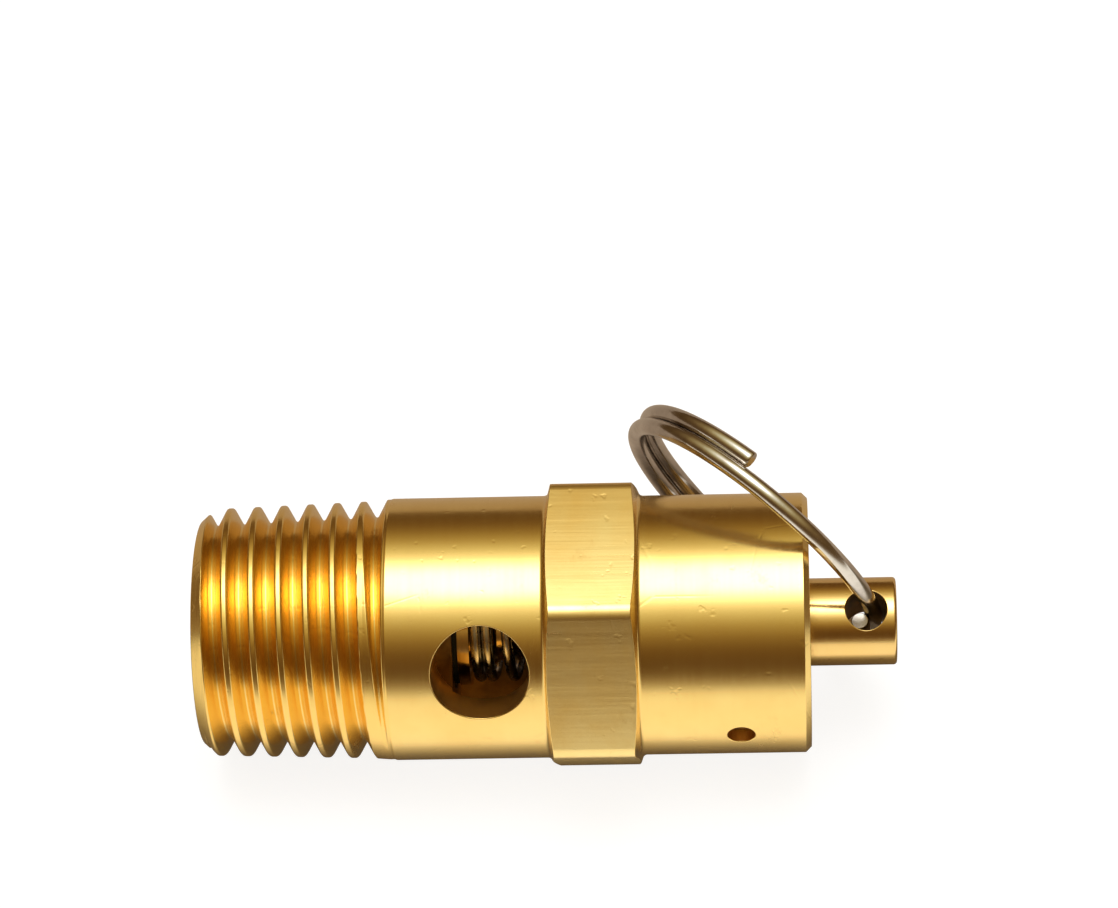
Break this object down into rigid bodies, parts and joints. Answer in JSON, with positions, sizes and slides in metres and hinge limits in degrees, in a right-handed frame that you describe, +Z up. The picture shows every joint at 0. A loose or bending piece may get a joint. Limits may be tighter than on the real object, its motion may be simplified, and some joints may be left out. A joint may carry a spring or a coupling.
{
  "type": "pressure relief valve",
  "caption": "Brass pressure relief valve with taper pipe thread inlet, hexagon, side discharge ports, spring-loaded seat disc and steel split ring for manual lift.",
  "frame": {"origin": "centre of the inlet face, on the valve's axis", "axes": "+X along the axis from the inlet to the stem's tip, +Z up as the valve lies on a flat of its hexagon"},
  "size_m": [0.0365, 0.0197, 0.0172],
  "materials": {
    "brass_body": "turned and polished free-cutting brass",
    "brass_screw": "turned brass",
    "brass_stem": "turned brass",
    "steel_pin": "dark oiled steel",
    "spring_steel": "drawn stainless wire",
    "seat_rubber": "moulded black rubber",
    "plated_steel": "bright nickel plate over steel wire"
  },
  "bodies": {
    "body": {"valve_body": "brass_body", "adjusting_screw": "brass_screw", "lock_pin": "steel_pin", "spring_button": "brass_screw", "spring": "spring_steel"},
    "stem_group": {"stem": "brass_stem", "disc_holder": "brass_stem", "seat_disc": "seat_rubber"},
    "ring": {"pull_ring": "plated_steel"}
  },
  "joints": [
    {"name": "stem_lift", "type": "slide", "parent": "body", "child": "stem_group", "axis": [1, 0, 0], "range_m": [0, 0.0015], "stiffness_N_per_m": 1200, "springref_m": -0.001, "deforming": ["spring"]},
    {"name": "ring_swing", "type": "hinge", "parent": "stem_group", "child": "ring", "pos_m": [0.0349, 0, 0], "axis": [0, 0.3173, -0.9483], "range_deg": [0, 262]}
  ]
}
